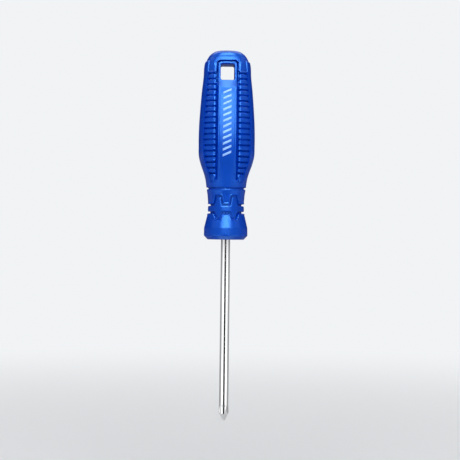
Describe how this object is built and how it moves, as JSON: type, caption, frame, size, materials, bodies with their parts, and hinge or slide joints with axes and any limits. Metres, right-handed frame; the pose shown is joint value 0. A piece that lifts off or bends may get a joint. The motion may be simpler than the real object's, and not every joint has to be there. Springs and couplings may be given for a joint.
{
  "type": "phillips screwdriver",
  "caption": "Phillips screwdriver with a round chromed shank, a ribbed waisted moulded handle and a squarish hang hole through its butt.",
  "frame": {"origin": "on the driver's axis at the upper face of the hang hole, the face that bears on a peg", "axes": "+Z from the tip to the butt, along the blade; the front panel faces -Y; +X is to the right of someone facing the front panel"},
  "size_m": [0.031, 0.027, 0.2043],
  "materials": {
    "blade": "bright chrome plating on a drawn round steel bar, bead-blasted grey at the point",
    "core": "hard polypropylene as moulded, hidden inside the handle",
    "shell": "injection-moulded polypropylene with a soft gloss",
    "grip": "thermoplastic elastomer moulded over the shell, satin to soft gloss"
  },
  "bodies": {
    "root": {"blade": "blade", "handle_core": "core", "handle_shell": "shell", "grip_strip_front_left": "grip", "grip_strip_front_right": "grip", "grip_strip_back_left": "grip", "grip_strip_back_right": "grip", "neck_band": "grip"}
  },
  "joints": []
}
